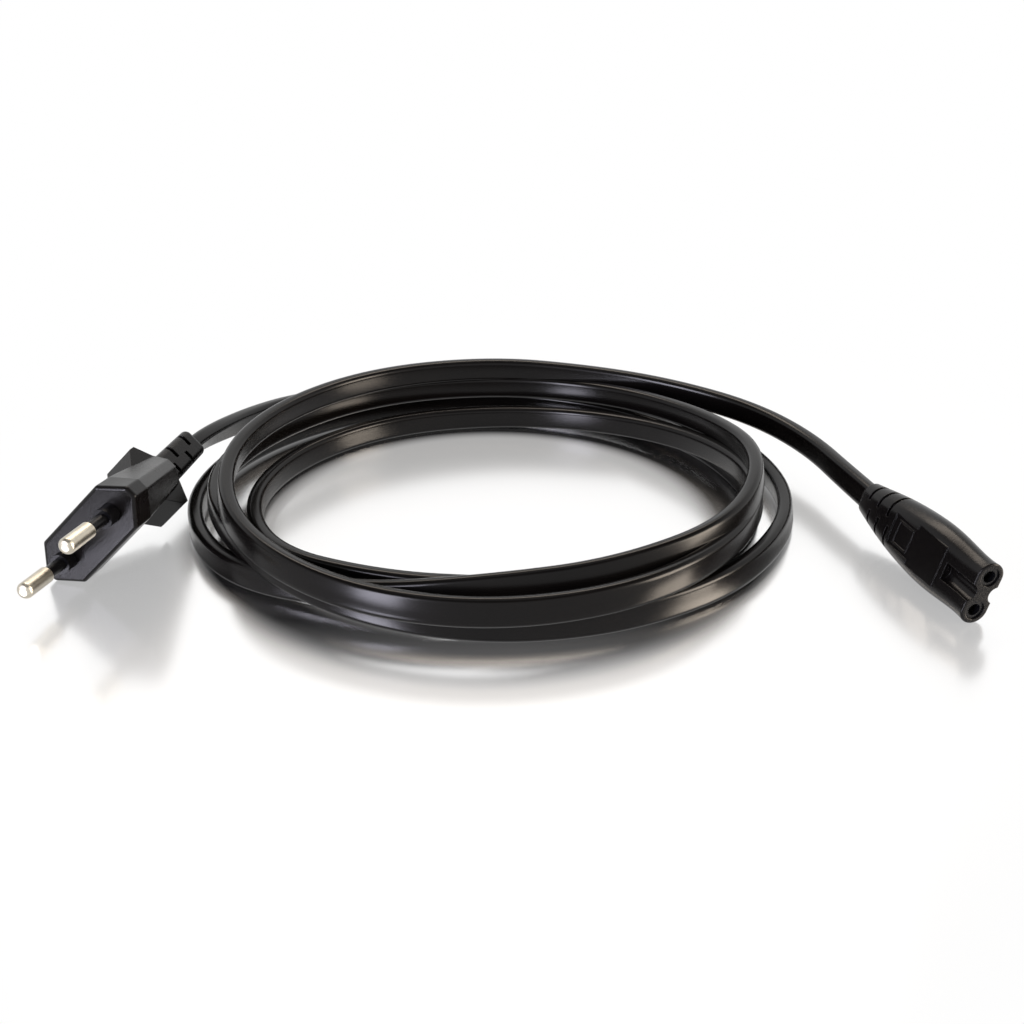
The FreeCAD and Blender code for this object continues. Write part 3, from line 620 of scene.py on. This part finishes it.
class InsulationSettings(bpy.types.PropertyGroup):
    brown_pale: bpy.props.StringProperty(
        name="Brown", description="Palest tone of the brown insulation", default="#6B4028")
    brown_deep: bpy.props.StringProperty(
        name="Brown, deep", description="Deepest tone of the brown insulation", default="#58331F")
    blue_pale: bpy.props.StringProperty(
        name="Blue", description="Palest tone of the blue insulation", default="#2F62A8")
    blue_deep: bpy.props.StringProperty(
        name="Blue, deep", description="Deepest tone of the blue insulation", default="#264F8C")
    roughness: bpy.props.FloatProperty(
        name="Roughness", description="Roughness of the insulation", default=0.35,
        subtype="FACTOR", min=0, max=1)


class StageSettings(bpy.types.PropertyGroup):
    floor: bpy.props.StringProperty(
        name="Floor", description="Colour of the floor", default="#FAFAFA")
    glow: bpy.props.FloatProperty(
        name="Glow", description="Share of the floor's white that no shadow reaches",
        default=0.85, subtype="FACTOR", min=0, max=1)
    mirror: bpy.props.FloatProperty(
        name="Mirror", description="Strength of the reflection in the floor", default=2.0,
        min=0)
    polish: bpy.props.FloatProperty(
        name="Polish", description="Roughness of the floor", default=0.2,
        subtype="FACTOR", min=0, max=1)
    fill: bpy.props.FloatProperty(
        name="Fill", description="Strength of the world's even light", default=0.16, min=0)
    ceiling: bpy.props.FloatProperty(
        name="Ceiling", description="Brightness of the dark ceiling in reflections",
        default=0.12, min=0)
    key: bpy.props.FloatProperty(
        name="Key", description="Power of the overhead light", default=0.5, unit="POWER")
    back: bpy.props.FloatProperty(
        name="Back", description="Power of the box behind the lead", default=4.4, unit="POWER")
    left: bpy.props.FloatProperty(
        name="Left", description="Power of the left strip light", default=7.6, unit="POWER")
    right: bpy.props.FloatProperty(
        name="Right", description="Power of the warm box on the right", default=7.2,
        unit="POWER")


SETTINGS = {
    "lead_cord": CordSettings,
    "lead_moulding": MouldingSettings,
    "lead_metal": MetalSettings,
    "lead_insulation": InsulationSettings,
    "lead_stage": StageSettings,
}


class MAINSLEAD_OT_stage(bpy.types.Operator):
    """Set up the camera, the glossy white floor, the soft lights round it and the white world"""
    bl_idname = "mainslead.stage"
    bl_label = "Stage"

    def execute(self, context):
        settings = context.scene.lead_stage
        self.add_camera(context)
        self.add_floor(settings)
        self.add_lights(settings)
        self.set_world(context, settings)
        return {"FINISHED"}

    def add_camera(self, context):
        camera = bpy.data.cameras.new("camera")
        camera.sensor_width = SENSOR
        camera.lens = CAMERA_LENS
        camera.clip_start = CAMERA_CLIP
        item = add_object("camera", camera)
        item.location = CAMERA_PLACE
        item.rotation_euler = (math.pi / 2 - CAMERA_PITCH, 0, CAMERA_HEADING)
        context.scene.camera = item

    def add_floor(self, settings):
        reach = FLOOR_REACH
        mesh = bpy.data.meshes.new("floor")
        corners = [(-reach, -reach, 0), (reach, -reach, 0), (reach, reach, 0), (-reach, reach, 0)]
        mesh.from_pydata(corners, [], [(0, 1, 2, 3)])
        floor = add_object("floor", mesh)
        floor.data.materials.append(polished_acrylic(settings))

    def add_lights(self, settings):
        for name, place, aim, size, power, colour in LAMPS:
            light = bpy.data.lights.new(name, "AREA")
            light.shape = "RECTANGLE"
            light.size, light.size_y = size
            light.energy = getattr(settings, power)
            light.color = linear(colour)[:3]
            item = add_object(name, light)
            item.location = place
            look = Vector(aim) - Vector(place)
            item.rotation_euler = look.to_track_quat("-Z", "Y").to_euler()

    def set_world(self, context, settings):
        world = bpy.data.worlds.new("studio")
        world.use_nodes = True
        context.scene.world = world
        tree = world.node_tree
        tree.nodes.clear()
        place = add_node(tree, "ShaderNodeTexCoord")
        height = add_node(tree, "ShaderNodeSeparateXYZ", None,
                          {"Vector": place.outputs["Generated"]})
        # reflections see a white wall all round, and above it a dark ceiling
        wall = add_node(tree, "ShaderNodeMapRange",
                        {"interpolation_type": "SMOOTHSTEP", "From Min": WALL_TOP,
                         "From Max": CEILING_START, "To Min": 1.0, "To Max": settings.ceiling},
                        {"Value": height.outputs["Z"]})
        shown = seen_as_background(tree)
        mirrored = add_node(tree, "ShaderNodeMix", {"A": settings.fill},
                            {"Factor": shown["reflected"], "B": wall.outputs["Result"]})
        strength = add_node(tree, "ShaderNodeMix", {"B": 1.0},
                            {"Factor": shown["camera"], "A": mirrored.outputs["Result"]})
        light = add_node(tree, "ShaderNodeBackground", {"Color": linear(WHITE)},
                         {"Strength": strength.outputs["Result"]})
        add_node(tree, "ShaderNodeOutputWorld", None, {"Surface": light.outputs["Background"]})
        context.scene.view_settings.view_transform = "Standard"


class MAINSLEAD_OT_cord(bpy.types.Operator):
    """Lay the flat cord from the connector through the coil to the plug"""
    bl_idname = "mainslead.cord"
    bl_label = "Cord"

    def execute(self, context):
        settings = context.scene.lead_cord
        points = route_points(settings)
        cord = add_object("flat_cord", tube_mesh("flat_cord", points, settings))
        cord.data.materials.append(extruded_pvc(settings))
        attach(cord, "root")
        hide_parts("connector_lead", "cord_coil", "plug_lead")
        return {"FINISHED"}


class MAINSLEAD_OT_mouldings(bpy.types.Operator):
    """Finish the connector's and the plug's overmoulds and the hard inserts in them"""
    bl_idname = "mainslead.mouldings"
    bl_label = "Mouldings"

    def execute(self, context):
        settings = context.scene.lead_moulding
        dress(MOULDINGS, spark_eroded_pvc(settings))
        dress(CARRIERS + PIN_SLEEVES, moulded_nylon(settings))
        return {"FINISHED"}


class MAINSLEAD_OT_metals(bpy.types.Operator):
    """Finish the pins, the contacts and the copper strands"""
    bl_idname = "mainslead.metals"
    bl_label = "Pins and contacts"

    def execute(self, context):
        settings = context.scene.lead_metal
        nickel = plated_metal("nickel_plated_brass", settings.nickel_pale, settings.nickel_deep,
                              settings.nickel_roughness)
        tin = plated_metal("tinned_brass", settings.tin_pale, settings.tin_deep,
                           settings.tin_roughness)
        copper = plated_metal("bare_copper", settings.copper_pale, settings.copper_deep,
                              settings.copper_roughness)
        dress(PINS, nickel)
        dress(CONTACTS, tin)
        dress(CONNECTOR_STRANDS + PLUG_STRANDS, copper)
        return {"FINISHED"}


class MAINSLEAD_OT_insulation(bpy.types.Operator):
    """Finish the brown and blue insulation of the conductors inside the mouldings"""
    bl_idname = "mainslead.insulation"
    bl_label = "Insulation"

    def execute(self, context):
        settings = context.scene.lead_insulation
        brown = wire_insulation("brown_pvc_insulation", settings.brown_pale, settings.brown_deep,
                                settings.roughness)
        blue = wire_insulation("blue_pvc_insulation", settings.blue_pale, settings.blue_deep,
                               settings.roughness)
        for first, second in (CONNECTOR_CORES, PLUG_CORES):
            dress([first], brown)
            dress([second], blue)
        return {"FINISHED"}


OPERATORS = (
    MAINSLEAD_OT_stage,
    MAINSLEAD_OT_cord,
    MAINSLEAD_OT_mouldings,
    MAINSLEAD_OT_metals,
    MAINSLEAD_OT_insulation,
)


class MAINSLEAD_PT_sidebar(bpy.types.Panel):
    """The lead's steps and settings"""
    bl_label = "Mains lead"
    bl_idname = "MAINSLEAD_PT_sidebar"
    bl_space_type = "VIEW_3D"
    bl_region_type = "UI"
    bl_category = "Mains lead"

    def draw(self, context):
        for operator in OPERATORS:
            self.layout.operator(operator.bl_idname)
        for name in SETTINGS:
            group = getattr(context.scene, name)
            for prop in group.bl_rna.properties:
                if prop.identifier not in ("rna_type", "name"):
                    self.layout.prop(group, prop.identifier)


def register():
    for name, group in SETTINGS.items():
        bpy.utils.register_class(group)
        setattr(bpy.types.Scene, name, bpy.props.PointerProperty(type=group))
    for kind in (*OPERATORS, MAINSLEAD_PT_sidebar):
        bpy.utils.register_class(kind)


def unregister():
    for kind in reversed((*OPERATORS, MAINSLEAD_PT_sidebar)):
        bpy.utils.unregister_class(kind)
    for name, group in SETTINGS.items():
        delattr(bpy.types.Scene, name)
        bpy.utils.unregister_class(group)


def main():
    """Register the add-on and run its operators in order."""
    register()
    bpy.ops.mainslead.stage()
    bpy.ops.mainslead.cord()
    bpy.ops.mainslead.mouldings()
    bpy.ops.mainslead.metals()
    bpy.ops.mainslead.insulation()


if __name__ == "__main__":
    main()
